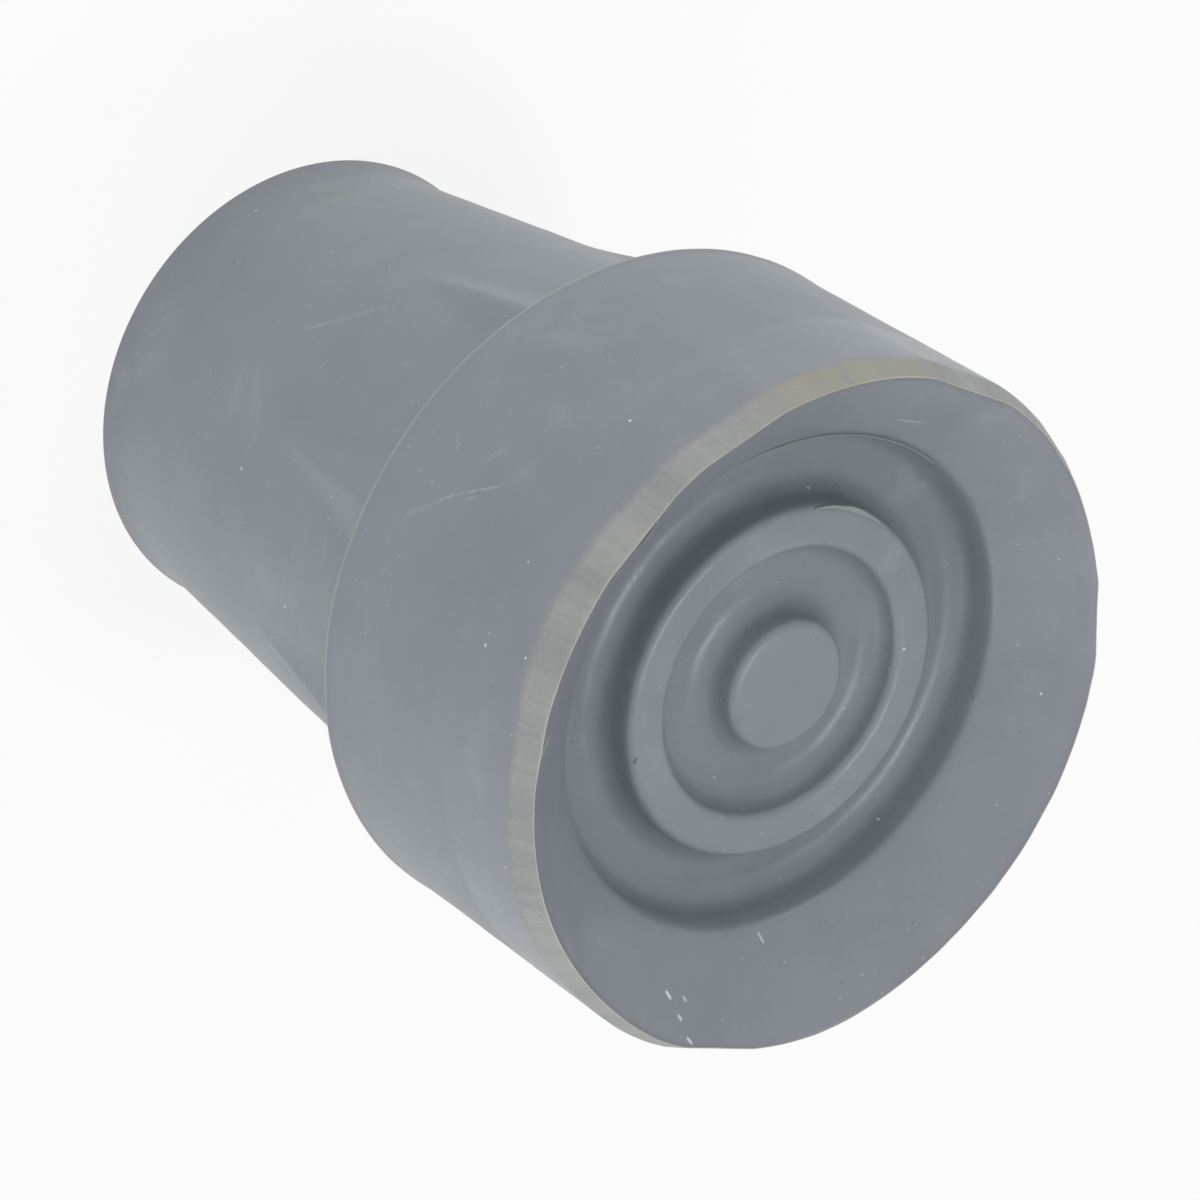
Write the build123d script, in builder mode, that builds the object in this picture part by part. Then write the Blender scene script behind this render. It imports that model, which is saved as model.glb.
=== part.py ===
from build123d import *
from math import radians, tan
import os

# A rubber cane tip, moulded in one piece: a tapered neck that grips the shaft, and a wider
# head whose dished tread meets the ground. It stands on its mouth, so +Z runs from the mouth
# of the socket to the tread, and the origin is the centre of the mouth's rim.
# Sizes are in millimetres and angles in degrees.

# Overall sizes
overall_height = 53.0
tread_diameter = 40.0      # outer edge of the dished tread face
bore_diameter = 19.0       # the shaft's diameter, which the rubber grips

# Head
head_height = 19.1         # from the rear rim to the edge of the tread
head_draft = 0.5           # the side widens towards the rear rim by this angle
trim_height = 1.4          # the trimmed bevel round the tread
trim_width = 0.6

# Neck
mouth_wall = 5.05          # rubber between the bore and the outside, at the mouth
shoulder_width = 2.9       # step from the top of the neck out to the rear rim
shoulder_radius = 0.8      # fillet in the corner of that step
lip_height = 2.6           # the mouth flares out a little over this height
lip_flare = 0.35
lip_edge_radius = 0.3

# Socket
sole_thickness = 8.11      # rubber between the end of the shaft and the tread's deepest groove
bore_end_radius = 1.5
bore_lead_in = 0.5

# Webs that brace the neck against the head
web_count = 8
web_first_angle = 11.5
web_run = 14.6             # height of a web, below the shoulder
web_rise = 1.55            # how far the crest stands out of the neck at its upper end
web_width = 7.0            # of the web's oval section at its upper end
web_thickness = 5.2
web_tip_share = 0.15       # the section's size at the tip, as a share of the upper end's
web_overlap = 0.6          # how far a web runs on into the head

# Tread: a dished face, then a groove, a raised ring, a second groove and a boss
dish_angle = 40.0
outer_groove_width = 4.35  # this and the next two are measured at the top of the relief
ring_width = 2.5
inner_groove_width = 4.25
boss_diameter = 7.85
outer_groove_depth = 6.85  # these four are below the edge of the tread
inner_groove_depth = 6.15
ring_depth = 4.28
boss_depth = 3.85
relief_draft = 6.0         # slope of the sides of the grooves
dish_edge_radius = 0.8     # rounding where the dished face turns down into the groove
relief_radius = 0.5        # rounding of the tops of the ring and the boss
foot_radius = 1.5          # rounding at the feet of the grooves' sides

match = 1e-4               # how near an edge's radius and height are to those asked for

# Radii and levels that follow from the sizes above
bore_radius = bore_diameter / 2
tread_radius = tread_diameter / 2
trim_radius = tread_radius + trim_width
trim_z = overall_height - trim_height
shoulder_z = overall_height - head_height
rear_radius = trim_radius + (trim_z - shoulder_z) * tan(radians(head_draft))
neck_radius = rear_radius - shoulder_width
mouth_radius = bore_radius + mouth_wall
boss_radius = boss_diameter / 2
ring_inner = boss_radius + inner_groove_width
ring_outer = ring_inner + ring_width
groove_radius = ring_outer + outer_groove_width
dish_z = overall_height - (tread_radius - groove_radius) * tan(radians(dish_angle))
outer_floor_z = overall_height - outer_groove_depth
inner_floor_z = overall_height - inner_groove_depth
ring_z = overall_height - ring_depth
boss_z = overall_height - boss_depth
bore_depth = min(outer_floor_z, inner_floor_z) - sole_thickness


def cone_radius(z):
    """Outside radius of the neck's plain cone at height z."""
    return mouth_radius + (neck_radius - mouth_radius) * z / shoulder_z


def side_run(top_z, floor_z):
    """How far a drafted side leans between its top and its foot."""
    return (top_z - floor_z) * tan(radians(relief_draft))


def circles(builder, radius, z):
    """Round edges about the axis that have this radius and height."""
    found = builder.edges().filter_by(GeomType.CIRCLE)
    found = found.filter_by(lambda edge: abs(edge.radius - radius) < match)
    return found.filter_by(lambda edge: abs(edge.center().Z - z) < match)


# One web: an oval section that grows from a tip on the neck to its end inside the head
web_tip_z = shoulder_z - web_run
web_top_z = shoulder_z + web_overlap
web_tip_centre = cone_radius(web_tip_z) - web_thickness / 2 * web_tip_share
web_top_centre = neck_radius + web_rise - web_thickness / 2

with BuildPart() as web:
    with BuildSketch(Plane.XY.offset(web_tip_z)):
        with Locations((web_tip_centre, 0)):
            Ellipse(web_thickness / 2 * web_tip_share, web_width / 2 * web_tip_share)
    with BuildSketch(Plane.XY.offset(web_top_z)):
        with Locations((web_top_centre, 0)):
            Ellipse(web_thickness / 2, web_width / 2)
    loft()

with BuildPart() as cane_tip:
    # The outside of the neck and the head, turned round the axis
    lip_edge = (cone_radius(0) + lip_flare, 0)
    lip_bend = (cone_radius(lip_height / 2), lip_height / 2)
    lip_top = (cone_radius(lip_height), lip_height)
    with BuildSketch(Plane.XZ):
        with BuildLine():
            Bezier(lip_edge, lip_bend, lip_top)
            Polyline(
                lip_top,
                (neck_radius, shoulder_z),
                (rear_radius, shoulder_z),
                (trim_radius, trim_z),
                (tread_radius, overall_height),
                (0, overall_height),
                (0, 0),
                lip_edge,
            )
        make_face()
    revolve(axis=Axis.Z)
    fillet(circles(cane_tip, neck_radius, shoulder_z), shoulder_radius)
    fillet(circles(cane_tip, lip_edge[0], 0), lip_edge_radius)

    # The webs
    with PolarLocations(0, web_count, start_angle=web_first_angle):
        add(web.part)

    # The tread's relief, from its edge in to the boss
    groove_foot = groove_radius - side_run(dish_z, outer_floor_z)
    ring_outer_foot = ring_outer + side_run(ring_z, outer_floor_z)
    ring_inner_foot = ring_inner - side_run(ring_z, inner_floor_z)
    boss_foot = boss_radius + side_run(boss_z, inner_floor_z)
    with BuildSketch(Plane.XZ):
        with BuildLine():
            Polyline(
                (0, overall_height),
                (tread_radius, overall_height),
                (groove_radius, dish_z),
                (groove_foot, outer_floor_z),
                (ring_outer_foot, outer_floor_z),
                (ring_outer, ring_z),
                (ring_inner, ring_z),
                (ring_inner_foot, inner_floor_z),
                (boss_foot, inner_floor_z),
                (boss_radius, boss_z),
                (0, boss_z),
                (0, overall_height),
            )
        make_face()
    revolve(axis=Axis.Z, mode=Mode.SUBTRACT)
    fillet(circles(cane_tip, groove_radius, dish_z), dish_edge_radius)
    for radius, z in ((ring_outer, ring_z), (ring_inner, ring_z), (boss_radius, boss_z)):
        fillet(circles(cane_tip, radius, z), relief_radius)
    for radius, z in (
        (groove_foot, outer_floor_z),
        (ring_outer_foot, outer_floor_z),
        (ring_inner_foot, inner_floor_z),
        (boss_foot, inner_floor_z),
    ):
        fillet(circles(cane_tip, radius, z), foot_radius)

    # The blind socket for the shaft
    with BuildSketch(Plane.XZ):
        with BuildLine():
            Polyline(
                (0, 0),
                (bore_radius + bore_lead_in, 0),
                (bore_radius, bore_lead_in),
                (bore_radius, bore_depth),
                (0, bore_depth),
                (0, 0),
            )
        make_face()
    revolve(axis=Axis.Z, mode=Mode.SUBTRACT)
    fillet(circles(cane_tip, bore_radius, bore_depth), bore_end_radius)

cane_tip.part.label = "cane_tip"

os.makedirs("parts", exist_ok=True)
export_step(cane_tip.part, "parts/cane_tip.step")
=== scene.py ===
"""A rubber cane tip: one moulded body with a dished tread whose edge was trimmed by hand, the
thin flash that its mould left, and the marks of handling, on a pale floor under soft light."""

import logging
import math
from dataclasses import dataclass, field

import bmesh
import bpy
import numpy as np
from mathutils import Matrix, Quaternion, Vector, noise


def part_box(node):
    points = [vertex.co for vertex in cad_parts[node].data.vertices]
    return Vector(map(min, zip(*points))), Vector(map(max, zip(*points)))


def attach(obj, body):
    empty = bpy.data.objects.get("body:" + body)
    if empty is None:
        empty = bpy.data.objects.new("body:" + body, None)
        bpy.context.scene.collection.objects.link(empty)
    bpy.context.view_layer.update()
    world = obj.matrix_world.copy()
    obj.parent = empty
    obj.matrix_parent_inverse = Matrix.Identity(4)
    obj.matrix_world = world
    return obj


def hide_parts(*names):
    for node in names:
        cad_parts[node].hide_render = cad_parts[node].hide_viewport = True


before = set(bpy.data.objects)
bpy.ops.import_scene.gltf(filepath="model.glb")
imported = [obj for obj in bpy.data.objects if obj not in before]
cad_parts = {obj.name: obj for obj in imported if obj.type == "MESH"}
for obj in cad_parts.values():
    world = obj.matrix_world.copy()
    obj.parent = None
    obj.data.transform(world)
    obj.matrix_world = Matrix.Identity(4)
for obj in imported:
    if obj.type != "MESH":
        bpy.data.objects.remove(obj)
log = logging.getLogger("cane_tip")

MM = 0.001  # sizes are written in millimetres, and Blender works in metres
NODE = "cane_tip"
BODY = "root"
TRIM = "trim"  # the attribute that says how far each point was cut, and on the flash strips how pale they are painted, partly as a painted highlight along their edges
WELD = 1e-7  # vertices nearer than this, in metres, are one
ARC_STEP = 0.22  # longest edge on a rounded corner, in millimetres
SMOOTH_ANGLE = 32.0  # edges that turn by less than this are shaded smooth, in degrees


# ---------------------------------------------------------------- numbers and shapes

def ease(value: np.ndarray, low: float, high: float) -> np.ndarray:
    """Rises smoothly from 0 at low to 1 at high.

    Args:
        value: The numbers to ease.
        low: Where the rise starts.
        high: Where the rise ends; it may be under low for a fall.

    Returns:
        Numbers from 0 to 1, one for each value.
    """
    share = np.clip((value - low) / (high - low), 0, 1)
    return share * share * (3 - 2 * share)


def turn_between(azimuth: np.ndarray, centre: float) -> np.ndarray:
    """Signed turn from centre to each azimuth, in degrees between -180 and 180."""
    return (azimuth - centre + 180) % 360 - 180


def blend_up(one: np.ndarray, other: np.ndarray, width: float) -> np.ndarray:
    """The higher of two surfaces, with the corner between them filled over a width.

    Args:
        one: Heights of the first surface.
        other: Heights of the second surface.
        width: How near the two are where the filling starts.

    Returns:
        The joined heights.
    """
    near = np.clip(width - np.abs(one - other), 0, None) / width
    return np.maximum(one, other) + near * near * width / 4


@dataclass(frozen=True)
class Corner:
    """One corner of a half-section, in millimetres from the axis and above the floor."""

    radius: float
    height: float
    rounding: float = 0.0
    step: float = 5.0  # the longest edge on the run that ends here


class HalfSection:
    """The outline of a turned body's half-section, drawn as a chain of edges on the XZ plane."""

    def __init__(self, name: str, corners: list[Corner]) -> None:
        """Draws the chain from its first corner to its last, then rounds its corners.

        Args:
            name: The name of the new object.
            corners: The corners in order, all with a height and a distance from the axis.
        """
        bpy.ops.object.select_all(action="DESELECT")
        bpy.ops.mesh.primitive_plane_add(size=MM)
        self.piece = bpy.context.object
        self.piece.name = name
        self.corners = corners
        bpy.ops.object.mode_set(mode="EDIT")
        bpy.ops.mesh.select_mode(type="VERT")
        bpy.ops.mesh.select_all(action="SELECT")
        bpy.ops.mesh.merge(type="CENTER")
        bpy.ops.transform.translate(value=self.place(corners[0]))
        for last, corner in zip(corners, corners[1:]):
            move = self.place(corner) - self.place(last)
            bpy.ops.mesh.extrude_vertices_move(TRANSFORM_OT_translate={"value": move})
        for before, corner, after in zip(corners, corners[1:], corners[2:]):
            if corner.rounding > 0:
                self.round_corner(before, corner, after)
        self.divide_runs()

    @staticmethod
    def place(corner: Corner) -> Vector:
        """Where a corner lies, in metres."""
        return Vector((corner.radius, 0, corner.height)) * MM

    def select_near(self, points: list[Vector]) -> None:
        """Selects only the vertices that lie at these points."""
        bpy.ops.mesh.select_all(action="DESELECT")
        mesh = bmesh.from_edit_mesh(self.piece.data)
        for vertex in mesh.verts:
            if any((vertex.co - point).length < WELD for point in points):
                vertex.select_set(True)
        mesh.select_flush(True)
        bmesh.update_edit_mesh(self.piece.data)

    def round_corner(self, before: Corner, corner: Corner, after: Corner) -> None:
        """Rounds one corner to its radius.

        Args:
            before: The corner before it on the chain.
            corner: The corner to round.
            after: The corner after it.
        """
        inward = self.place(corner) - self.place(before)
        outward = self.place(after) - self.place(corner)
        turn = inward.angle(outward)
        arc = corner.rounding * turn
        self.select_near([self.place(corner)])
        bpy.ops.mesh.bevel(
            offset_type="OFFSET",
            offset=corner.rounding * MM * math.tan(turn / 2),
            segments=max(2, math.ceil(arc / ARC_STEP)),
            affect="VERTICES",
        )

    def divide_runs(self) -> None:
        """Divides each straight run into edges no longer than its step."""
        pairs = zip(self.corners, self.corners[1:])
        steps = [(self.place(a), self.place(b), b.step * MM) for a, b in pairs]
        mesh = bmesh.from_edit_mesh(self.piece.data)
        jobs = []
        for edge in mesh.edges:
            middle = (edge.verts[0].co + edge.verts[1].co) / 2
            run = min(steps, key=lambda item: self.off_line(middle, item[0], item[1]))
            cuts = math.ceil(edge.calc_length() / run[2]) - 1
            if cuts > 0:
                jobs.append(([vertex.co.copy() for vertex in edge.verts], cuts))
        for ends, cuts in jobs:
            self.select_near(ends)
            bpy.ops.mesh.subdivide(number_cuts=cuts)

    @staticmethod
    def off_line(point: Vector, start: Vector, end: Vector) -> float:
        """Distance from a point to the straight run between two others."""
        along = end - start
        share = min(1.0, max(0.0, (point - start).dot(along) / along.length_squared))
        return (start + along * share - point).length

    def turn(self, steps: int) -> bpy.types.Object:
        """Turns the chain once round the Z axis.

        Args:
            steps: How many faces go round.

        Returns:
            The closed body, with its poles and its seam merged and its faces outwards.
        """
        bpy.ops.mesh.select_all(action="SELECT")
        bpy.ops.mesh.spin(steps=steps, angle=math.tau, center=(0, 0, 0), axis=(0, 0, 1))
        bpy.ops.mesh.select_all(action="SELECT")
        bpy.ops.mesh.remove_doubles(threshold=WELD)
        bpy.ops.mesh.normals_make_consistent(inside=False)
        bpy.ops.object.mode_set(mode="OBJECT")
        return self.piece


# ---------------------------------------------------------------- shader nodes

class Value:
    """A number that a shader works out, which can be used in a Python expression."""

    def __init__(self, graph: "Graph", socket: bpy.types.NodeSocket) -> None:
        """Keeps the socket and the graph that it belongs to."""
        self.graph = graph
        self.socket = socket

    def joined(self, operation: str, first: "Number", second: "Number") -> "Value":
        """A Math node on two numbers.

        Args:
            operation: The Math node's operation.
            first: Its first number.
            second: Its second number.

        Returns:
            The result.
        """
        made = self.graph.node("ShaderNodeMath", {"operation": operation}, {0: first, 1: second})
        return Value(self.graph, made.outputs[0])

    def __add__(self, other: "Number") -> "Value":
        """self + other."""
        return self.joined("ADD", self, other)

    def __radd__(self, other: "Number") -> "Value":
        """other + self."""
        return self.joined("ADD", other, self)

    def __sub__(self, other: "Number") -> "Value":
        """self - other."""
        return self.joined("SUBTRACT", self, other)

    def __rsub__(self, other: "Number") -> "Value":
        """other - self."""
        return self.joined("SUBTRACT", other, self)

    def __mul__(self, other: "Number") -> "Value":
        """self * other."""
        return self.joined("MULTIPLY", self, other)

    def __rmul__(self, other: "Number") -> "Value":
        """other * self."""
        return self.joined("MULTIPLY", other, self)

    def __truediv__(self, other: "Number") -> "Value":
        """self / other."""
        return self.joined("DIVIDE", self, other)

    def __rtruediv__(self, other: "Number") -> "Value":
        """other / self."""
        return self.joined("DIVIDE", other, self)

    def higher(self, other: "Number") -> "Value":
        """The higher of the two."""
        return self.joined("MAXIMUM", self, other)

    def rise(self, low: float, high: float) -> "Value":
        """A smooth step from 0 at low to 1 at high, or from 1 down to 0 where high is under low."""
        ends = (1.0, 0.0) if high < low else (0.0, 1.0)
        made = self.graph.node(
            "ShaderNodeMapRange",
            {"interpolation_type": "SMOOTHSTEP", "clamp": True},
            {0: self, 1: min(low, high), 2: max(low, high), 3: ends[0], 4: ends[1]},
        )
        return Value(self.graph, made.outputs[0])


Number = Value | float
Colour = tuple[float, float, float]
Setting = Value | bpy.types.NodeSocket | float | tuple


class Graph:
    """The node tree of a material or of the world, with short ways to add to it."""

    def __init__(self, owner: bpy.types.Material | bpy.types.World) -> None:
        """Empties the owner's node tree."""
        owner.use_nodes = True
        self.owner = owner
        self.tree = owner.node_tree
        self.tree.nodes.clear()

    def node(self, kind: str, settings: dict, sockets: dict[int | str, Setting]) -> bpy.types.Node:
        """Adds one node.

        Args:
            kind: The node's type.
            settings: Its properties, which are set first.
            sockets: Values or links, by the input's number or name.

        Returns:
            The node.
        """
        made = self.tree.nodes.new(kind)
        for name, setting in settings.items():
            setattr(made, name, setting)
        for key, value in sockets.items():
            self.feed(made.inputs[key], value)
        return made

    def feed(self, target: bpy.types.NodeSocket, value: Setting) -> None:
        """Links or sets one input."""
        if isinstance(value, Value):
            self.tree.links.new(value.socket, target)
        elif isinstance(value, bpy.types.NodeSocket):
            self.tree.links.new(value, target)
        elif isinstance(value, tuple) and len(value) == 3 and target.type == "RGBA":
            target.default_value = (*value, 1.0)
        else:
            target.default_value = value

    def noise(self, place: Setting, feature: float, detail: float = 2.0, rough: float = 0.5) -> Value:
        """Smooth noise from 0 to 1.

        Args:
            place: The coordinates that it reads, in metres.
            feature: The size of one blotch, in millimetres.
            detail: How many finer layers are added.
            rough: The strength of the finer layers.

        Returns:
            The noise.
        """
        sockets = {"Vector": place, "Scale": 1 / (feature * MM), "Detail": detail, "Roughness": rough}
        return Value(self, self.node("ShaderNodeTexNoise", {}, sockets).outputs[0])

    def specks(self, place: Setting, spacing: float, size: float, share: float) -> Value:
        """Small round dots scattered through space.

        Args:
            place: The coordinates that they lie in, in metres.
            spacing: The distance between two places for a dot, in millimetres.
            size: The radius of the largest dot, in millimetres.
            share: The share of the places that hold a dot.

        Returns:
            1 on a dot and 0 elsewhere.
        """
        sockets = {"Vector": place, "Scale": 1 / (spacing * MM)}
        cells = self.node("ShaderNodeTexVoronoi", {"feature": "F1"}, sockets)
        parts = self.node("ShaderNodeSeparateColor", {}, {0: cells.outputs["Color"]})
        distance = Value(self, cells.outputs["Distance"]) * spacing
        pick = Value(self, parts.outputs[0]).rise(1 - share, 1 - share * 0.8)
        reach = (Value(self, parts.outputs[1]) * 0.7 + 0.3) * size
        return (1 - (distance / reach).rise(0.55, 1.0)) * pick

    def mixed(self, share: Number, first: Setting, second: Setting) -> bpy.types.NodeSocket:
        """Mixes two colours.

        Args:
            share: How much of the second colour is used.
            first: The first colour.
            second: The second colour.

        Returns:
            The mixed colour.
        """
        made = self.node("ShaderNodeMix", {"data_type": "RGBA"}, {0: share, 6: first, 7: second})
        return made.outputs[2]

    def seen(self) -> Value:
        """1 for a ray that shows the background, straight, in a reflection or through glass."""
        path = self.node("ShaderNodeLightPath", {}, {})
        total = Value(self, path.outputs["Is Camera Ray"])
        for name in ("Is Glossy Ray", "Is Transmission Ray"):
            total = total.higher(Value(self, path.outputs[name]))
        return total

    def finish(self, shader: bpy.types.Node) -> bpy.types.Material | bpy.types.World:
        """Ends the tree with this shader and returns its material or world."""
        kind = "World" if isinstance(self.owner, bpy.types.World) else "Material"
        self.node(f"ShaderNodeOutput{kind}", {}, {0: shader.outputs[0]})
        return self.owner


@dataclass(frozen=True)
class Stroke:
    """A thin mark between two points of a flat pattern, in millimetres."""

    start: tuple[float, float]
    end: tuple[float, float]
    width: float
    strength: float = 1.0

    def mask(self, graph: Graph, across: Value, along: Value) -> Value:
        """Where the mark lies.

        Args:
            graph: Not used.
            across: The pattern's first coordinate.
            along: The pattern's second coordinate.

        Returns:
            The mark's strength on its line, and 0 outside it.
        """
        run = (self.end[0] - self.start[0], self.end[1] - self.start[1])
        length = math.hypot(*run)
        lean = (run[0] / length, run[1] / length)
        middle = ((self.start[0] + self.end[0]) / 2, (self.start[1] + self.end[1]) / 2)
        side = across - middle[0]
        rise = along - middle[1]
        off = side * -lean[1] + rise * lean[0]
        far = side * lean[0] + rise * lean[1]
        thin = 1 - (off * off).rise(0.0, self.width ** 2)
        short = 1 - (far * far).rise((length * 0.3) ** 2, (length * 0.5 + self.width) ** 2)
        return thin * short * self.strength


# ---------------------------------------------------------------- the rubber

class SurfacePoint:
    """What the rubber's shader knows of each point: where it lies and how far it was cut."""

    def __init__(self, graph: Graph) -> None:
        """Reads the object's coordinates and the body's own trim attribute."""
        trim = graph.node("ShaderNodeAttribute", {"attribute_name": TRIM}, {})
        self.place = graph.node("ShaderNodeTexCoord", {}, {}).outputs["Object"]
        self.parts = graph.node("ShaderNodeSeparateXYZ", {}, {0: self.place})
        self.x, self.y, self.z = (Value(graph, self.parts.outputs[n]) * (1 / MM) for n in range(3))
        self.turn = self.x.joined("ARCTAN2", self.y, self.x)
        self.trim = Value(graph, trim.outputs["Fac"])


@dataclass(frozen=True)
class Scatter:
    """Small dots strewn over the surface, in millimetres."""

    colour: Colour
    spacing: float
    size: float
    strength: float
    share: float = 0.8


@dataclass(frozen=True)
class GreyRubber:
    """Semi-matt grey rubber, scuffed and specked, with a paler edge where it was trimmed and a painted
    highlight round its rear rim.
    """

    light: Colour = (0.232, 0.258, 0.283)
    dark: Colour = (0.196, 0.221, 0.246)
    dust: Colour = (0.52, 0.54, 0.55)
    lint: Colour = (0.78, 0.79, 0.80)
    soot: Colour = (0.035, 0.036, 0.04)
    moss: Colour = (0.20, 0.205, 0.15)
    cut_light: Colour = (0.325, 0.335, 0.325)
    cut_dark: Colour = (0.235, 0.248, 0.25)
    cut_tan: Colour = (0.30, 0.27, 0.185)
    # pale colour of the knife's burr, and also of the painted highlight round the rear rim
    burr_pale_and_rim_highlight: Colour = (0.50, 0.48, 0.38)
    roughness: float = 0.46
    tread_roughness: float = 0.37
    cut_roughness: float = 0.62
    haze: float = 0.10  # strength of the dusty haze
    stain: float = 0.5  # strength of the stains near the mouth
    stain_top: tuple[float, float] = (6.0, 14.0)  # heights over which the stains fade out
    tread_below: tuple[float, float] = (8.0, 7.2)  # depths under the top where the tread starts
    rim_highlight_width: float = 0.20  # of the pale line of painted highlight round the rear rim
    tan_azimuth: float = -143.0  # where the cut has yellowed, in degrees
    burr_line: tuple[float, float] = (-0.04, 0.04)  # heights about the top over which it pales
    skin_feature: float = 0.22  # size of the skin's fine grain
    skin_depth: float = 0.03
    skin_strength: float = 0.25
    scatters: tuple[Scatter, ...] = (
        Scatter(dust, 0.9, 0.10, 0.42),
        Scatter(lint, 2.4, 0.14, 0.62),
        Scatter(soot, 1.3, 0.11, 0.42),
    )
    side_scuffs: tuple[Stroke, ...] = (
        Stroke((-31.2, 39.2), (-28.9, 36.7), 0.26, 0.13),
        Stroke((-31.2, 39.2), (-31.9, 40.0), 0.14, 0.30),
        Stroke((-31.9, 40.0), (-33.8, 42.9), 0.12, 0.26),
        Stroke((-32.0, 41.0), (-32.5, 41.6), 0.14, 0.24),
        Stroke((-34.5, 37.8), (-34.1, 38.1), 0.18, 0.28),
        Stroke((-34.2, 40.5), (-35.7, 41.2), 0.24, 0.12),
        Stroke((-36.1, 16.0), (-38.6, 18.6), 0.20, 0.20),
        Stroke((-38.6, 18.6), (-41.2, 20.8), 0.22, 0.12),
    )
    tread_scuffs: tuple[Stroke, ...] = (
        Stroke((9.9, -16.9), (8.9, -16.2), 0.30, 0.45),
        Stroke((-15.9, -5.0), (-16.5, -3.6), 0.12, 0.35),
    )
    tread_lint: tuple[Stroke, ...] = (
        Stroke((17.8, 2.8), (18.0, 3.2), 0.13, 0.8),
        Stroke((17.6, 4.2), (17.7, 4.4), 0.10, 0.6),
        Stroke((18.6, 4.0), (18.7, 4.2), 0.12, 0.7),
        Stroke((19.4, 4.8), (19.5, 5.1), 0.12, 0.7),
        Stroke((12.5, 8.8), (12.8, 9.2), 0.10, 0.5),
    )
    tread_dots: tuple[Stroke, ...] = (
        Stroke((8.30, -10.1), (8.36, -10.0), 0.20, 0.85),
        Stroke((7.6, -6.7), (7.8, -6.6), 0.14, 0.6),
        Stroke((9.5, 4.4), (9.6, 4.6), 0.12, 0.6),
    )

    @staticmethod
    def marks(graph: Graph, strokes: tuple[Stroke, ...], across: Value, along: Value) -> Value:
        """Several marks of one pattern.

        Args:
            graph: The material's nodes.
            strokes: The marks.
            across: The pattern's first coordinate, in millimetres.
            along: The pattern's second coordinate, in millimetres.

        Returns:
            The strongest mark at each point.
        """
        masks = [stroke.mask(graph, across, along) for stroke in strokes]
        total = masks[0]
        for mask in masks[1:]:
            total = total.higher(mask)
        return total

    def make(self, tip: "TipSizes") -> bpy.types.Material:
        """Builds the material.

        Args:
            tip: The sizes of the body that wears it.

        Returns:
            The finished material.
        """
        graph = Graph(bpy.data.materials.new("grey_rubber_worn"))
        point = SurfacePoint(graph)
        top = tip.overall_height
        on_tread = point.z.rise(*(top - depth for depth in self.tread_below)) * (1 - point.trim)
        cloud = graph.noise(point.place, 2.6, 3.0, 0.55)
        grain = graph.noise(point.place, 0.34, 2.0, 0.6)

        colour = self.moulded(graph, point, cloud, grain)
        colour = self.scuffed(graph, colour, point, tip, on_tread)
        colour = self.specked(graph, colour, point)
        # a pale line round the rear rim: painted highlight where the light catches its thin bead
        rim = point.z.rise(tip.shoulder_z - self.rim_highlight_width, tip.shoulder_z)
        rim = rim * point.z.rise(tip.shoulder_z + self.rim_highlight_width, tip.shoulder_z + self.rim_highlight_width * 0.4)
        colour = graph.mixed(rim * (0.10 + cloud * 0.35), colour, self.burr_pale_and_rim_highlight)
        colour = self.trimmed(graph, colour, point, tip)
        for strokes, shade in ((self.tread_lint, self.lint), (self.tread_dots, self.soot)):
            found = self.marks(graph, strokes, point.x, point.y) * on_tread
            colour = graph.mixed(found, colour, shade)

        rough = self.roughness + (cloud - 0.5) * 0.10 + point.trim * (self.cut_roughness - self.roughness)
        rough = rough + on_tread * (self.tread_roughness - self.roughness + (grain - 0.5) * 0.25)
        skin = graph.noise(point.place, self.skin_feature, 3.0, 0.6) + cloud * 1.2
        relief = {"Height": skin, "Strength": self.skin_strength, "Distance": self.skin_depth * MM}
        bump = graph.node("ShaderNodeBump", {}, relief)
        shader = graph.node(
            "ShaderNodeBsdfPrincipled",
            {},
            {"Base Color": colour, "Roughness": rough, "Normal": bump.outputs[0], "IOR": 1.5},
        )
        return graph.finish(shader)

    def moulded(self, graph: Graph, point: SurfacePoint, cloud: Value, grain: Value) -> bpy.types.NodeSocket:
        """The rubber as it came from the mould, blotched, hazed and stained near its mouth.

        Args:
            graph: The material's nodes.
            point: The point's place.
            cloud: Noise of middling size.
            grain: Fine noise.

        Returns:
            The colour.
        """
        blotch = graph.noise(point.place, 9.0, 2.0)
        tone = (blotch - 0.5) * 0.9 + (cloud - 0.5) * 0.55 + (grain - 0.5) * 0.32 + 0.5
        colour = graph.mixed(tone.rise(0.0, 1.0), self.dark, self.light)
        haze = graph.noise(point.place, 5.0, 3.0, 0.6).rise(0.56, 0.78) * self.haze
        colour = graph.mixed(haze, colour, self.dust)
        stain = graph.noise(point.place, 3.2, 3.0, 0.6).rise(0.60, 0.74)
        stain = stain * (1 - point.z.rise(*self.stain_top)) * self.stain
        return graph.mixed(stain, colour, self.moss)

    def scuffed(
        self,
        graph: Graph,
        ground: Setting,
        point: SurfacePoint,
        tip: "TipSizes",
        on_tread: Value,
    ) -> bpy.types.NodeSocket:
        """The pale scuffs of the side and of the tread.

        Args:
            graph: The material's nodes.
            ground: The colour under them.
            point: The point's place.
            tip: The sizes of the body.
            on_tread: 1 on the tread.

        Returns:
            The colour with the scuffs in it.
        """
        girth = point.turn * tip.rear_radius
        scuffs = self.marks(graph, self.side_scuffs, girth, point.z) * (1 - on_tread)
        rubs = self.marks(graph, self.tread_scuffs, point.x, point.y) * on_tread
        broken = graph.noise(point.place, 0.5, 2.0).rise(0.30, 0.55)
        return graph.mixed((scuffs + rubs) * broken, ground, self.dust)

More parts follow.
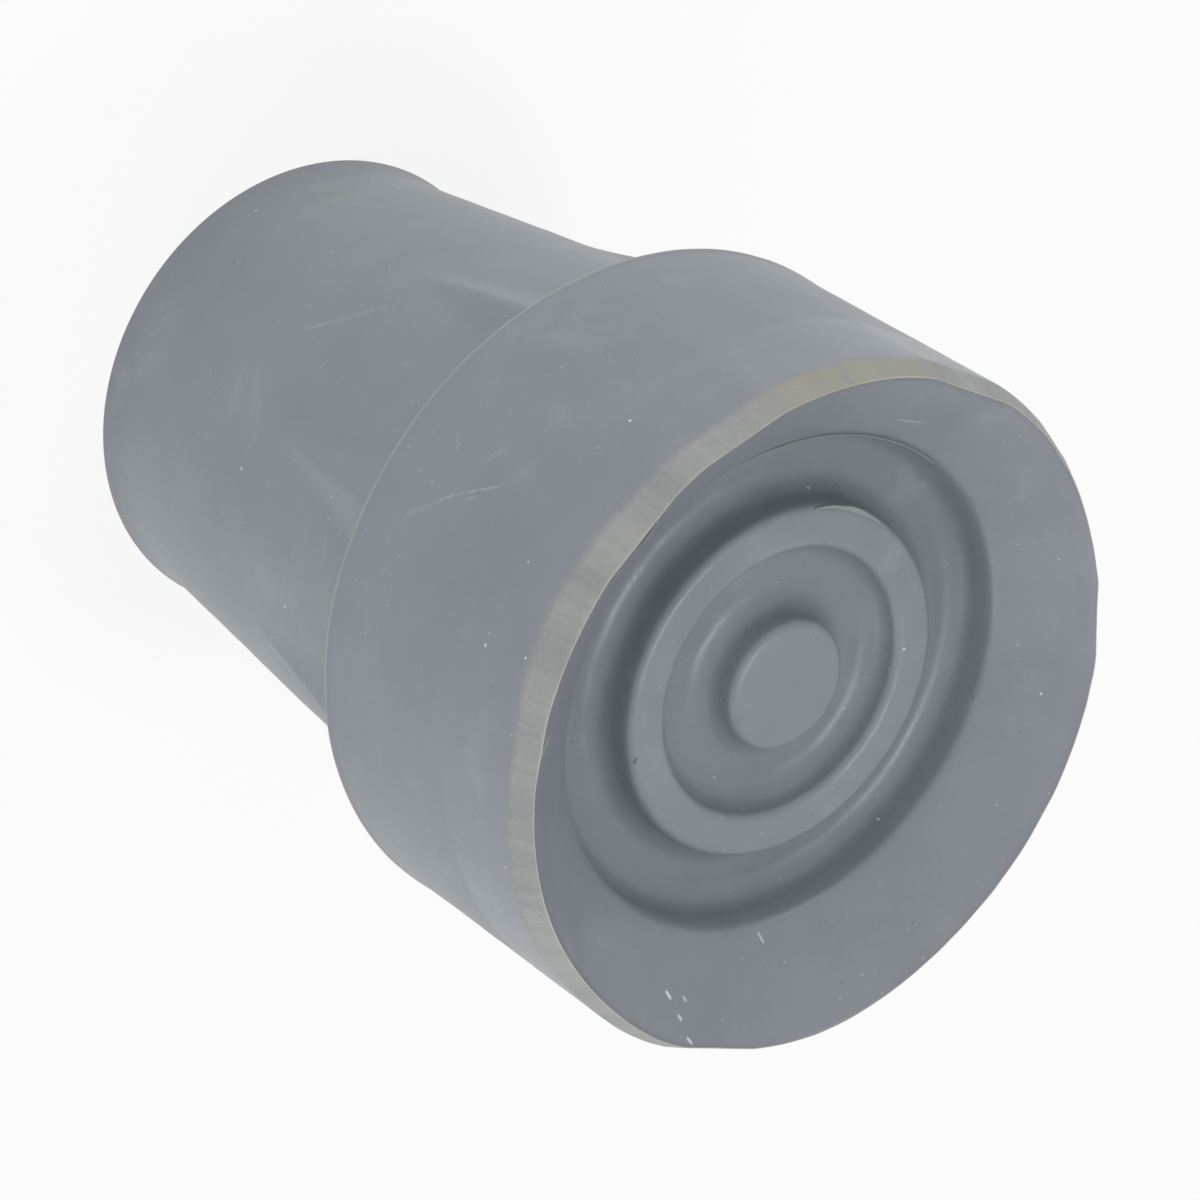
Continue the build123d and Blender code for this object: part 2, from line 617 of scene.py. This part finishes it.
    def specked(self, graph: Graph, ground: Setting, point: SurfacePoint) -> bpy.types.NodeSocket:
        """The dust, the lint and the soot that lie all over it.

        Args:
            graph: The material's nodes.
            ground: The colour under them.
            point: The point's place.

        Returns:
            The colour with the specks in it.
        """
        colour = ground
        for scatter in self.scatters:
            dots = graph.specks(point.place, scatter.spacing, scatter.size, scatter.share)
            colour = graph.mixed(dots * scatter.strength, colour, scatter.colour)
        return colour

    def trimmed(
        self,
        graph: Graph,
        ground: Setting,
        point: SurfacePoint,
        tip: "TipSizes",
    ) -> bpy.types.NodeSocket:
        """The cut rubber of the trimmed edge, with the fine streaks that the knife left across it.

        Args:
            graph: The material's nodes.
            ground: The colour of the rubber round it.
            point: The point's place.
            tip: The sizes of the body.

        Returns:
            The colour with the trimmed edge in it.
        """
        flat = graph.node("ShaderNodeCombineXYZ", {}, {n: point.parts.outputs[n] for n in range(2)})
        unit = graph.node("ShaderNodeVectorMath", {"operation": "NORMALIZE"}, {0: flat.outputs[0]})
        scaled = {0: unit.outputs[0], "Scale": tip.tread_radius * MM}
        rim = graph.node("ShaderNodeVectorMath", {"operation": "SCALE"}, scaled)
        streak = graph.noise(rim.outputs[0], 0.8, 4.0, 0.72)
        broad = graph.noise(rim.outputs[0], 3.4, 2.0, 0.5)
        fine = graph.noise(point.place, 0.3, 2.0, 0.6)
        tone = (streak - 0.5) * 0.9 + (broad - 0.5) * 1.1 + (fine - 0.5) * 0.5 + 0.55
        cut = graph.mixed(tone.rise(0.1, 0.9), self.cut_dark, self.cut_light)
        away = point.turn - math.radians(self.tan_azimuth)
        near = 1 - (away * away).rise(0.02, 0.16)
        tan = near * (streak * 0.6 + fine * 0.6).rise(0.45, 0.75) * 0.75
        cut = graph.mixed(tan, cut, self.cut_tan)
        ragged = point.trim + (fine - 0.5) * 0.22 + (broad - 0.5) * 0.25
        cut = graph.mixed(ragged.rise(0.1, 0.9), ground, cut)
        low, high = (tip.overall_height + height for height in self.burr_line)
        return graph.mixed(point.z.rise(low, high) * point.trim * 0.6, cut, self.burr_pale_and_rim_highlight)


# ---------------------------------------------------------------- the body

@dataclass
class TipSizes:
    """The sizes of the moulding, in millimetres and degrees. Heights are above the floor."""

    overall_height: float
    rear_radius: float
    tread_radius: float = 20.0
    bore_radius: float = 9.5
    head_height: float = 19.1
    trim_height: float = 1.4
    trim_width: float = 0.6
    mouth_wall: float = 5.05
    shoulder_width: float = 2.9
    shoulder_rounding: float = 0.8
    lip_height: float = 2.6
    lip_flare: float = 0.35
    lip_rounding: float = 0.3
    lip_sweep: float = 11.0
    bore_depth: float = 38.04
    bore_end_rounding: float = 1.5
    bore_lead_in: float = 0.5
    dish_angle: float = 40.0
    outer_groove_width: float = 4.35
    ring_width: float = 2.5
    inner_groove_width: float = 4.25
    boss_radius: float = 3.925
    outer_groove_depth: float = 6.85
    inner_groove_depth: float = 6.15
    ring_depth: float = 4.28
    boss_depth: float = 3.85
    relief_draft: float = 6.0
    dish_edge_rounding: float = 0.8
    relief_rounding: float = 0.5
    foot_rounding: float = 1.5
    rim_bead: float = 0.07  # how far the thin line of flash round the rear rim stands out
    burr: float = 0.05  # the ridge that the knife left on the inner side of its cut

    @property
    def shoulder_z(self) -> float:
        """Height of the step between the neck and the head."""
        return self.overall_height - self.head_height

    @property
    def trim_z(self) -> float:
        """Height of the lower side of the trimmed edge."""
        return self.overall_height - self.trim_height

    @property
    def trim_radius(self) -> float:
        """Radius at the lower side of the trimmed edge."""
        return self.tread_radius + self.trim_width

    @property
    def neck_radius(self) -> float:
        """Radius of the neck where it meets the head."""
        return self.rear_radius - self.shoulder_width

    @property
    def mouth_radius(self) -> float:
        """Radius of the neck's cone at the mouth."""
        return self.bore_radius + self.mouth_wall

    @property
    def ring_inner(self) -> float:
        """Inner radius of the raised ring."""
        return self.boss_radius + self.inner_groove_width

    @property
    def ring_outer(self) -> float:
        """Outer radius of the raised ring."""
        return self.ring_inner + self.ring_width

    @property
    def ring_z(self) -> float:
        """Height of the raised ring."""
        return self.overall_height - self.ring_depth

    @property
    def groove_radius(self) -> float:
        """Radius at which the dished face turns down into the outer groove."""
        return self.ring_outer + self.outer_groove_width

    @property
    def dish_z(self) -> float:
        """Height of the inner edge of the dished face."""
        return self.dish_height(self.groove_radius)

    def dish_height(self, radius: float) -> float:
        """Height of the dished face at a radius."""
        return self.overall_height - (self.tread_radius - radius) * math.tan(math.radians(self.dish_angle))

    def cone_radius(self, z: float | np.ndarray) -> float | np.ndarray:
        """Radius of the neck's plain cone at height z."""
        return self.mouth_radius + (self.neck_radius - self.mouth_radius) * z / self.shoulder_z

    def lean(self, top: float, floor: float) -> float:
        """How far a groove's side leans between its top and its foot."""
        return (top - floor) * math.tan(math.radians(self.relief_draft))


@dataclass
class Web:
    """The ribs that brace the neck against the head, each with a ridged crest."""

    count: int = 8
    first_azimuth: float = 11.5
    run: float = 14.6
    rise: float = 1.55
    width: float = 7.0
    tip_share: float = 0.15
    crest: float = 0.05  # how blunt the crest is, as a share of the half width
    hollow: float = 1.40  # over 1 makes the flanks a little hollow
    blend: float = 0.12

    def outline(self, tip: TipSizes, azimuth: np.ndarray, z: np.ndarray) -> np.ndarray:
        """Radius of the ribs' own surface, or 0 where there is none.

        Args:
            tip: The sizes of the body.
            azimuth: Azimuths in degrees.
            z: Heights in millimetres.

        Returns:
            A radius for each point.
        """
        share = np.clip((z - tip.shoulder_z + self.run) / self.run, 0, 1)
        half = self.width / 2 * (self.tip_share + (1 - self.tip_share) * share)
        step = 360 / self.count
        off = np.radians((azimuth - self.first_azimuth + step / 2) % step - step / 2)
        across = np.abs(off) * tip.cone_radius(z) / half
        blunt = np.sqrt(across ** 2 + self.crest ** 2) - self.crest
        roof = np.clip(1 - blunt / (math.hypot(1, self.crest) - self.crest), 0, 1) ** self.hollow
        found = (roof > 0) & (share > 0)
        return np.where(found, tip.cone_radius(z) + self.rise * share * roof, 0)


@dataclass(frozen=True)
class Cut:
    """One flat that the knife left on the tread's edge: its azimuth and distance from the axis."""

    azimuth: float
    distance: float


@dataclass(frozen=True)
class Swell:
    """A place where an edge stands out or lies in: its azimuth and width in degrees."""

    azimuth: float
    width: float
    amount: float

    def at(self, azimuth: np.ndarray) -> np.ndarray:
        """How much it adds at each azimuth."""
        return self.amount * np.exp(-(turn_between(azimuth, self.azimuth) / self.width) ** 2)


@dataclass(frozen=True)
class Lump:
    """A small lump or dent in the surface, in millimetres."""

    x: float
    y: float
    size: float
    height: float

    def at(self, x: np.ndarray, y: np.ndarray) -> np.ndarray:
        """How much it adds at each place."""
        away = ((x - self.x) ** 2 + (y - self.y) ** 2) / self.size ** 2
        return self.height * np.exp(-away)


class Places:
    """Where the vertices of the turned body lie, in millimetres and degrees."""

    def __init__(self, mesh: bpy.types.Mesh) -> None:
        """Reads the mesh's vertices."""
        flat = np.empty(len(mesh.vertices) * 3)
        mesh.vertices.foreach_get("co", flat)
        self.points = flat.reshape(-1, 3) / MM
        self.x, self.y, self.z = self.points.T
        self.radius = np.hypot(self.x, self.y)
        self.azimuth = np.degrees(np.arctan2(self.y, self.x))


@dataclass
class Moulding:
    """The moulded body, turned from its half-section and then shaped by hand."""

    tip: TipSizes
    web: Web = field(default_factory=Web)
    steps: int = 360
    relief_shift: tuple[float, float] = (-0.27, 0.0)
    relief_reach: tuple[float, float] = (15.0, 19.0)  # radii over which that shift fades out
    tread_floor: float = 44.0  # the tread's own surface lies above this
    uneven: float = 0.05  # height of the surface's slow waves
    wave: float = 0.16  # slow waves in one millimetre
    ripple: float = 0.7  # ripples in one millimetre
    ripple_start: tuple[float, float, float] = (9.0, 4.0, 2.0)
    flat_reach: float = 60.0  # how far round a knife's flat may reach, in degrees
    band_blur: float = 0.35  # height over which the band's lower edge fades
    band_drop: float = 0.30  # how far the fading starts below that edge
    dip_reach: float = 4.0  # how far below the edge its dips still pull
    soft_cut: Swell = Swell(-92.0, 32.0, 0.55)  # where the knife's cut fades out into the side
    swells: tuple[Swell, ...] = (
        Swell(42.0, 24.0, 0.030),
        Swell(10.0, 14.0, 0.016),
        Swell(118.0, 14.0, -0.010),
        Swell(146.0, 16.0, -0.018),
        Swell(-150.0, 20.0, 0.006),
    )
    cuts: tuple[Cut, ...] = (
        Cut(-60.0, 19.92),
        Cut(-98.0, 19.80),
        Cut(-120.0, 19.84),
        Cut(-168.0, 19.84),
        Cut(165.0, 19.85),
        Cut(133.0, 19.58),
        Cut(96.0, 19.95),
        Cut(69.0, 20.35),
        Cut(20.0, 20.30),
    )
    trim_dips: tuple[Swell, ...] = (
        Swell(-79.0, 13.0, -0.50),
        Swell(-98.0, 10.0, -0.25),
        Swell(-60.0, 9.0, 0.20),
        Swell(-155.0, 7.0, 0.42),
        Swell(-133.0, 9.0, -0.10),
        Swell(60.0, 30.0, 0.35),
        Swell(150.0, 25.0, 0.25),
    )
    lumps: tuple[Lump, ...] = (
        Lump(-14.8, 2.5, 0.45, 0.16),
        Lump(-14.9, 4.4, 0.40, 0.14),
        Lump(-13.2, 6.6, 0.50, 0.10),
        Lump(-16.3, -3.3, 0.35, 0.06),
    )

    def corners(self) -> list[Corner]:
        """The corners of the half-section, from the middle of the boss round to the bore's end."""
        tip = self.tip
        outer_floor = tip.overall_height - tip.outer_groove_depth
        inner_floor = tip.overall_height - tip.inner_groove_depth
        ring_z = tip.ring_z
        boss_z = tip.overall_height - tip.boss_depth
        boss_foot = tip.boss_radius + tip.lean(boss_z, inner_floor)
        ring_inner_foot = tip.ring_inner - tip.lean(ring_z, inner_floor)
        ring_outer_foot = tip.ring_outer + tip.lean(ring_z, outer_floor)
        groove_foot = tip.groove_radius - tip.lean(tip.dish_z, outer_floor)
        bead = tip.rim_bead
        burr_foot = tip.tread_radius - 3 * tip.burr
        lip_bend = tip.lip_height / 2
        return [
            Corner(0, boss_z),
            Corner(tip.boss_radius, boss_z, tip.relief_rounding, 0.45),
            Corner(boss_foot, inner_floor, tip.foot_rounding, 0.3),
            Corner(ring_inner_foot, inner_floor, tip.foot_rounding, 0.35),
            Corner(tip.ring_inner, ring_z, tip.relief_rounding, 0.3),
            Corner(tip.ring_outer, ring_z, tip.relief_rounding, 0.45),
            Corner(ring_outer_foot, outer_floor, tip.foot_rounding, 0.3),
            Corner(groove_foot, outer_floor, tip.foot_rounding, 0.35),
            Corner(tip.groove_radius, tip.dish_z, tip.dish_edge_rounding, 0.35),
            Corner(burr_foot, tip.dish_height(burr_foot), 0.0, 0.45),
            Corner(tip.tread_radius - tip.burr, tip.overall_height + tip.burr, 0.0, 0.2),
            Corner(tip.tread_radius, tip.overall_height, 0.0, 0.2),
            Corner(tip.trim_radius, tip.trim_z, 0.25, 0.3),
            Corner(tip.rear_radius, tip.shoulder_z + 3 * bead, 0.0, 0.6),
            Corner(tip.rear_radius + bead, tip.shoulder_z + bead, 0.0, 0.2),
            Corner(tip.rear_radius, tip.shoulder_z - bead, 0.0, 0.2),
            Corner(tip.rear_radius - 3 * bead, tip.shoulder_z, 0.0, 0.2),
            Corner(tip.neck_radius, tip.shoulder_z, tip.shoulder_rounding, 0.5),
            Corner(tip.cone_radius(tip.lip_height), tip.lip_height, 0.0, 0.5),
            Corner(tip.cone_radius(lip_bend), lip_bend, tip.lip_sweep, 0.4),
            Corner(tip.mouth_radius + tip.lip_flare, 0, tip.lip_rounding, 0.4),
            Corner(tip.bore_radius + tip.bore_lead_in, 0, 0.0, 1.2),
            Corner(tip.bore_radius, tip.bore_lead_in, 0.0, 1.0),
            Corner(tip.bore_radius, tip.bore_depth, tip.bore_end_rounding, 4.0),
            Corner(0, tip.bore_depth, 0.0, 2.5),
        ]

    def edge_share(self, azimuth: np.ndarray) -> np.ndarray:
        """How far out the tread's edge lies, as a share of its plain radius.

        Args:
            azimuth: Azimuths in degrees.

        Returns:
            The share for each azimuth.
        """
        share = np.ones_like(azimuth)
        for swell in self.swells:
            share += swell.at(azimuth)
        for cut in self.cuts:
            away = np.abs(turn_between(azimuth, cut.azimuth))
            off = np.radians(np.clip(away, 0, self.flat_reach))
            share = np.minimum(share, cut.distance / self.tip.tread_radius / np.cos(off))
        return share

    def trimmed_share(self, old: Places) -> np.ndarray:
        """How far each vertex was cut: 1 on the trimmed band, and 0 away from it.

        Args:
            old: The vertices of the plain body.

        Returns:
            The share for each vertex.
        """
        tip = self.tip
        band = (old.radius > tip.tread_radius - tip.burr * 1.5) & (old.z > tip.trim_z - 2)
        soft = self.soft_cut.at(old.azimuth)
        cut = (old.z - tip.trim_z + self.band_drop + soft) / (self.band_blur + soft * 1.6)
        return np.where(band, np.clip(cut, 0, 1), 0)

    def ribbed(self, old: Places) -> np.ndarray:
        """Distance from the axis once the webs stand on the neck.

        Args:
            old: The vertices of the plain body.

        Returns:
            The new distance of each vertex.
        """
        tip = self.tip
        outside = (old.radius > tip.bore_radius + 1) & (old.radius < tip.rear_radius - 1.6)
        ribs = self.web.outline(tip, old.azimuth, old.z)
        found = outside & (old.z < tip.shoulder_z - 0.01) & (ribs > 0)
        return np.where(found, blend_up(old.radius, ribs, self.web.blend), old.radius)

    def edge_dip(self, old: Places) -> np.ndarray:
        """How far the band's lower edge, and the side near it, move up or down.

        Args:
            old: The vertices of the plain body.

        Returns:
            The move of each vertex.
        """
        tip = self.tip
        dip = sum(swell.at(old.azimuth) for swell in self.trim_dips)
        side = (old.radius > tip.tread_radius) & (old.z > tip.shoulder_z + 1)
        above = (tip.overall_height - old.z) / tip.trim_height
        below = ease(old.z, tip.trim_z - self.dip_reach, tip.trim_z)
        near = np.where(old.z > tip.trim_z, above, below)
        return np.where(side, dip * np.clip(near, 0, 1), 0)

    def build(self) -> bpy.types.Object:
        """Turns the body and shapes its vertices.

        Returns:
            The finished body.
        """
        tip = self.tip
        piece = HalfSection("cane_tip_rubber", self.corners()).turn(self.steps)
        mesh = piece.data
        old = Places(mesh)
        trim = self.trimmed_share(old)
        mesh.attributes.new(TRIM, "FLOAT", "POINT").data.foreach_set("value", trim)

        outside = old.radius > tip.bore_radius + 1
        head = ease(old.z, tip.shoulder_z, tip.overall_height) * outside
        reach = ease(old.radius, tip.groove_radius, tip.tread_radius)
        radius = self.ribbed(old) * (1 + (self.edge_share(old.azimuth) - 1) * head * reach)

        start = Vector(self.ripple_start)
        waves = np.array([noise.noise(Vector(p) * self.wave) for p in old.points])
        ripple = np.array([noise.noise(Vector(p) * self.ripple + start) for p in old.points])
        radius += np.where(outside & (old.z > 0.5), (waves + ripple * 0.35) * self.uneven, 0)

        scale = radius / np.maximum(old.radius, WELD)
        on_top = old.z > self.tread_floor
        relief = np.where(on_top, 1 - ease(old.radius, *self.relief_reach), 0)
        x = old.x * scale + self.relief_shift[0] * relief
        y = old.y * scale + self.relief_shift[1] * relief
        rise = (waves + ripple * 0.6) * self.uneven + sum(lump.at(x, y) for lump in self.lumps)
        tread = on_top & (old.radius < tip.tread_radius)
        z = old.z + np.where(tread, rise, 0) + self.edge_dip(old)

        mesh.vertices.foreach_set("co", (np.stack([x, y, z], 1) * MM).ravel())
        mesh.update()
        bpy.ops.object.shade_smooth_by_angle(angle=math.radians(SMOOTH_ANGLE))
        log.info("%s: %d faces", piece.name, len(mesh.polygons))
        return piece


@dataclass(frozen=True)
class Strip:
    """A thin strip of flash that stands along an edge of the tread."""

    azimuth: tuple[float, float]
    radius: tuple[float, float]
    height: tuple[float, float]
    width: float
    lean: tuple[float, float]  # how far out and how far up its free edge goes
    thickness: float = 0.06
    wave: float = 0.25  # how ragged its free edge is
    pale_tint_and_highlight: float = 0.45  # how far it is painted pale like cut rubber, which also paints the highlight along its thin edge
    divisions: tuple[int, int] = (48, 3)
    fullness: float = 0.7  # under 1 keeps its width nearer to its ends

    def build(self, name: str) -> bpy.types.Object:
        """Makes the strip from a narrow grid, tapered to its ends, and gives it a thickness.

        Args:
            name: The name of the new object.

        Returns:
            The closed strip.
        """
        bpy.ops.object.select_all(action="DESELECT")
        around, across = self.divisions
        bpy.ops.mesh.primitive_grid_add(x_subdivisions=around, y_subdivisions=across, size=1)
        piece = bpy.context.object
        piece.name = name
        for vertex in piece.data.vertices:
            along = vertex.co.x + 0.5
            across = vertex.co.y + 0.5
            azimuth = math.radians(self.azimuth[0] + (self.azimuth[1] - self.azimuth[0]) * along)
            radius = self.radius[0] + (self.radius[1] - self.radius[0]) * along
            height = self.height[0] + (self.height[1] - self.height[0]) * along
            taper = math.sin(math.pi * along) ** self.fullness + 0.02
            ragged = 1 + self.wave * noise.noise(Vector((along * 7, radius, height)))
            reach = self.width * taper * ragged * across
            radius += self.lean[0] * reach
            height += self.lean[1] * reach
            place = Vector((radius * math.cos(azimuth), radius * math.sin(azimuth), height))
            vertex.co = place * MM
        # The pale tint stands for the flash's own paler rubber and for a painted highlight along its thin
        # edge.
        pale = [self.pale_tint_and_highlight] * len(piece.data.vertices)
        piece.data.attributes.new(TRIM, "FLOAT", "POINT").data.foreach_set("value", pale)
        solidify = piece.modifiers.new("thickness", "SOLIDIFY")
        solidify.thickness = self.thickness * MM
        solidify.offset = 0
        bpy.ops.object.modifier_apply(modifier=solidify.name)
        bpy.ops.object.shade_smooth()
        return piece


@dataclass
class MouldFlash:
    """The thin slivers that the mould and the knife left on the tread."""

    tip: TipSizes
    sliver_run: tuple[float, float] = (19.45, 18.3)  # radii of the knife's sliver at its ends

    def strips(self) -> list[Strip]:
        """The slivers in the order in which they are made."""
        tip = self.tip
        flap = (tip.ring_z - 0.15, tip.ring_z - 0.05)
        lip = (tip.dish_z, tip.dish_z + 0.1)
        sliver = (tip.dish_height(self.sliver_run[0]), tip.dish_height(self.sliver_run[1]))
        return [
            Strip((-184, -150), (10.6, 10.75), flap, 0.38, (0.85, 0.25)),
            Strip((-182, -124), (15.2, 15.3), lip, 0.11, (-0.35, 0.9), 0.07),
            Strip((-103, -95), self.sliver_run, sliver, 0.3, (-0.2, 0.95), 0.05, 0.1),
        ]

    def build(self) -> list[bpy.types.Object]:
        """Makes every sliver.

        Returns:
            The slivers, ready to be joined to the body.
        """
        made = [strip.build(f"flash_{count}") for count, strip in enumerate(self.strips(), 1)]
        log.info("flash: %d strips", len(made))
        return made


class CaneTip:
    """The whole cane tip: one moulding with its flash, in one material."""

    def __init__(self) -> None:
        """Takes the height and the width from the frame."""
        low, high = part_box(NODE)
        self.sizes = TipSizes(overall_height=high.z / MM, rear_radius=(high.x - low.x) / 2 / MM)

    def build(self) -> bpy.types.Object:
        """Makes the body, joins its flash to it and dresses it.

        Returns:
            The finished piece.
        """
        piece = Moulding(self.sizes).build()
        flash = MouldFlash(self.sizes).build()
        bpy.ops.object.select_all(action="DESELECT")
        for part in [*flash, piece]:
            part.select_set(True)
        bpy.context.view_layer.objects.active = piece
        bpy.ops.object.join()
        piece.data.materials.clear()
        piece.data.materials.append(GreyRubber().make(self.sizes))
        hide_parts(NODE)
        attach(piece, BODY)
        return piece


# ---------------------------------------------------------------- the studio

@dataclass
class Softbox:
    """A soft lamp that faces the object, placed by its azimuth and elevation round it."""

    name: str
    azimuth: float
    elevation: float
    size: float
    power: float
    distance: float = 0.6

    def build(self, aim: Vector) -> None:
        """Adds the lamp.

        Args:
            aim: The point that it faces, in metres.
        """
        turn = math.radians(self.azimuth)
        tilt = math.radians(self.elevation)
        out = Vector((math.cos(turn) * math.cos(tilt), math.sin(turn) * math.cos(tilt), math.sin(tilt)))
        bpy.ops.object.light_add(type="AREA", location=aim + out * self.distance)
        lamp = bpy.context.object
        lamp.name = self.name
        lamp.rotation_euler = out.to_track_quat("Z", "Y").to_euler()
        lamp.data.shape = "DISK"
        lamp.data.size = self.size
        lamp.data.energy = self.power


@dataclass
class Studio:
    """A white tent with soft lamps, a pale floor and the camera."""

    tent_bright: float = 0.94
    tent_dim: float = 0.34
    dim_side: tuple[float, float, float] = (-0.50, 0.75, 0.43)
    dim_range: tuple[float, float] = (-0.2, 0.9)  # how far towards that side the fall reaches
    floor_size: float = 3.0
    floor_white: float = 0.86
    floor_glow: float = 0.86
    lens: float = 150.0
    camera_distance: float = 0.29125
    camera_elevation: float = 45.83
    camera_azimuth: float = 0.38
    camera_roll: float = 122.79
    aim: tuple[float, float, float] = (1.355, 0.0, 32.674)

    def lamps(self) -> list[Softbox]:
        """The lamps of the tent."""
        return [
            Softbox("softbox_left", azimuth=-162.0, elevation=4.0, size=0.45, power=1.25),
            Softbox("softbox_right", azimuth=-10.0, elevation=12.0, size=0.45, power=0.75),
            Softbox("softbox_top", azimuth=82.0, elevation=80.0, size=0.13, power=0.75),
        ]

    def build(self) -> None:
        """Makes the world, the floor, the lamps and the camera."""
        self.make_world()
        self.make_floor()
        aim = Vector(self.aim) * MM
        for lamp in self.lamps():
            lamp.build(aim)
        self.make_camera(aim)

    def make_world(self) -> None:
        """A world that lights softly from all sides and looks white where it is seen."""
        world = bpy.data.worlds.new("tent")
        bpy.context.scene.world = world
        graph = Graph(world)
        levels = {0: graph.seen(), 2: self.tent_level(graph), 3: 1.0}
        strength = graph.node("ShaderNodeMix", {}, levels).outputs[0]
        sky = graph.node("ShaderNodeBackground", {}, {"Color": (1.0, 1.0, 1.0), "Strength": strength})
        graph.finish(sky)

    def tent_level(self, graph: Graph) -> Value:
        """The tent's brightness, which falls off towards its dim side.

        Args:
            graph: The world's nodes.

        Returns:
            The brightness in each direction.
        """
        direction = graph.node("ShaderNodeTexCoord", {}, {}).outputs["Generated"]
        sides = {0: direction, 1: tuple(Vector(self.dim_side).normalized())}
        towards = graph.node("ShaderNodeVectorMath", {"operation": "DOT_PRODUCT"}, sides)
        low, high = self.dim_range
        levels = {0: towards.outputs["Value"], 1: low, 2: high, 3: self.tent_bright, 4: self.tent_dim}
        return Value(graph, graph.node("ShaderNodeMapRange", {}, levels).outputs[0])

    def make_floor(self) -> None:
        """A pale floor that looks white and keeps a faint shadow."""
        bpy.ops.object.select_all(action="DESELECT")
        bpy.ops.mesh.primitive_plane_add(size=self.floor_size)
        floor = bpy.context.object
        floor.name = "floor"
        graph = Graph(bpy.data.materials.new("floor_white"))
        white = (self.floor_white,) * 3
        paint = graph.node("ShaderNodeBsdfDiffuse", {}, {"Color": white})
        glow = graph.node("ShaderNodeEmission", {}, {"Color": (1.0, 1.0, 1.0), "Strength": 1.0})
        shaders = {0: graph.seen() * self.floor_glow, 1: paint.outputs[0], 2: glow.outputs[0]}
        shader = graph.node("ShaderNodeMixShader", {}, shaders)
        floor.data.materials.append(graph.finish(shader))

    def make_camera(self, aim: Vector) -> None:
        """Adds the camera, which looks down at the tread and is rolled on its side.

        Args:
            aim: The point in the middle of its view, in metres.
        """
        turn = math.radians(self.camera_azimuth)
        tilt = math.radians(self.camera_elevation)
        back = Vector((-math.sin(turn) * math.cos(tilt), -math.cos(turn) * math.cos(tilt), math.sin(tilt)))
        level = (-back).to_track_quat("-Z", "Y")
        roll = Quaternion((0, 0, 1), math.radians(self.camera_roll))
        bpy.ops.object.camera_add(location=aim + back * self.camera_distance)
        camera = bpy.context.object
        camera.rotation_euler = (level @ roll).to_euler()
        camera.data.sensor_width = 36.0
        camera.data.lens = self.lens
        camera.data.clip_start = 0.01
        bpy.context.scene.camera = camera


def main() -> None:
    """Builds the cane tip and its studio, and reports each piece."""
    logging.basicConfig(level=logging.INFO, format="%(name)s: %(message)s")
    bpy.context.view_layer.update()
    bpy.context.scene.view_settings.view_transform = "Standard"
    piece = CaneTip().build()
    log.info("built %s with %d vertices", piece.name, len(piece.data.vertices))
    Studio().build()


if __name__ == "__main__":
    main()
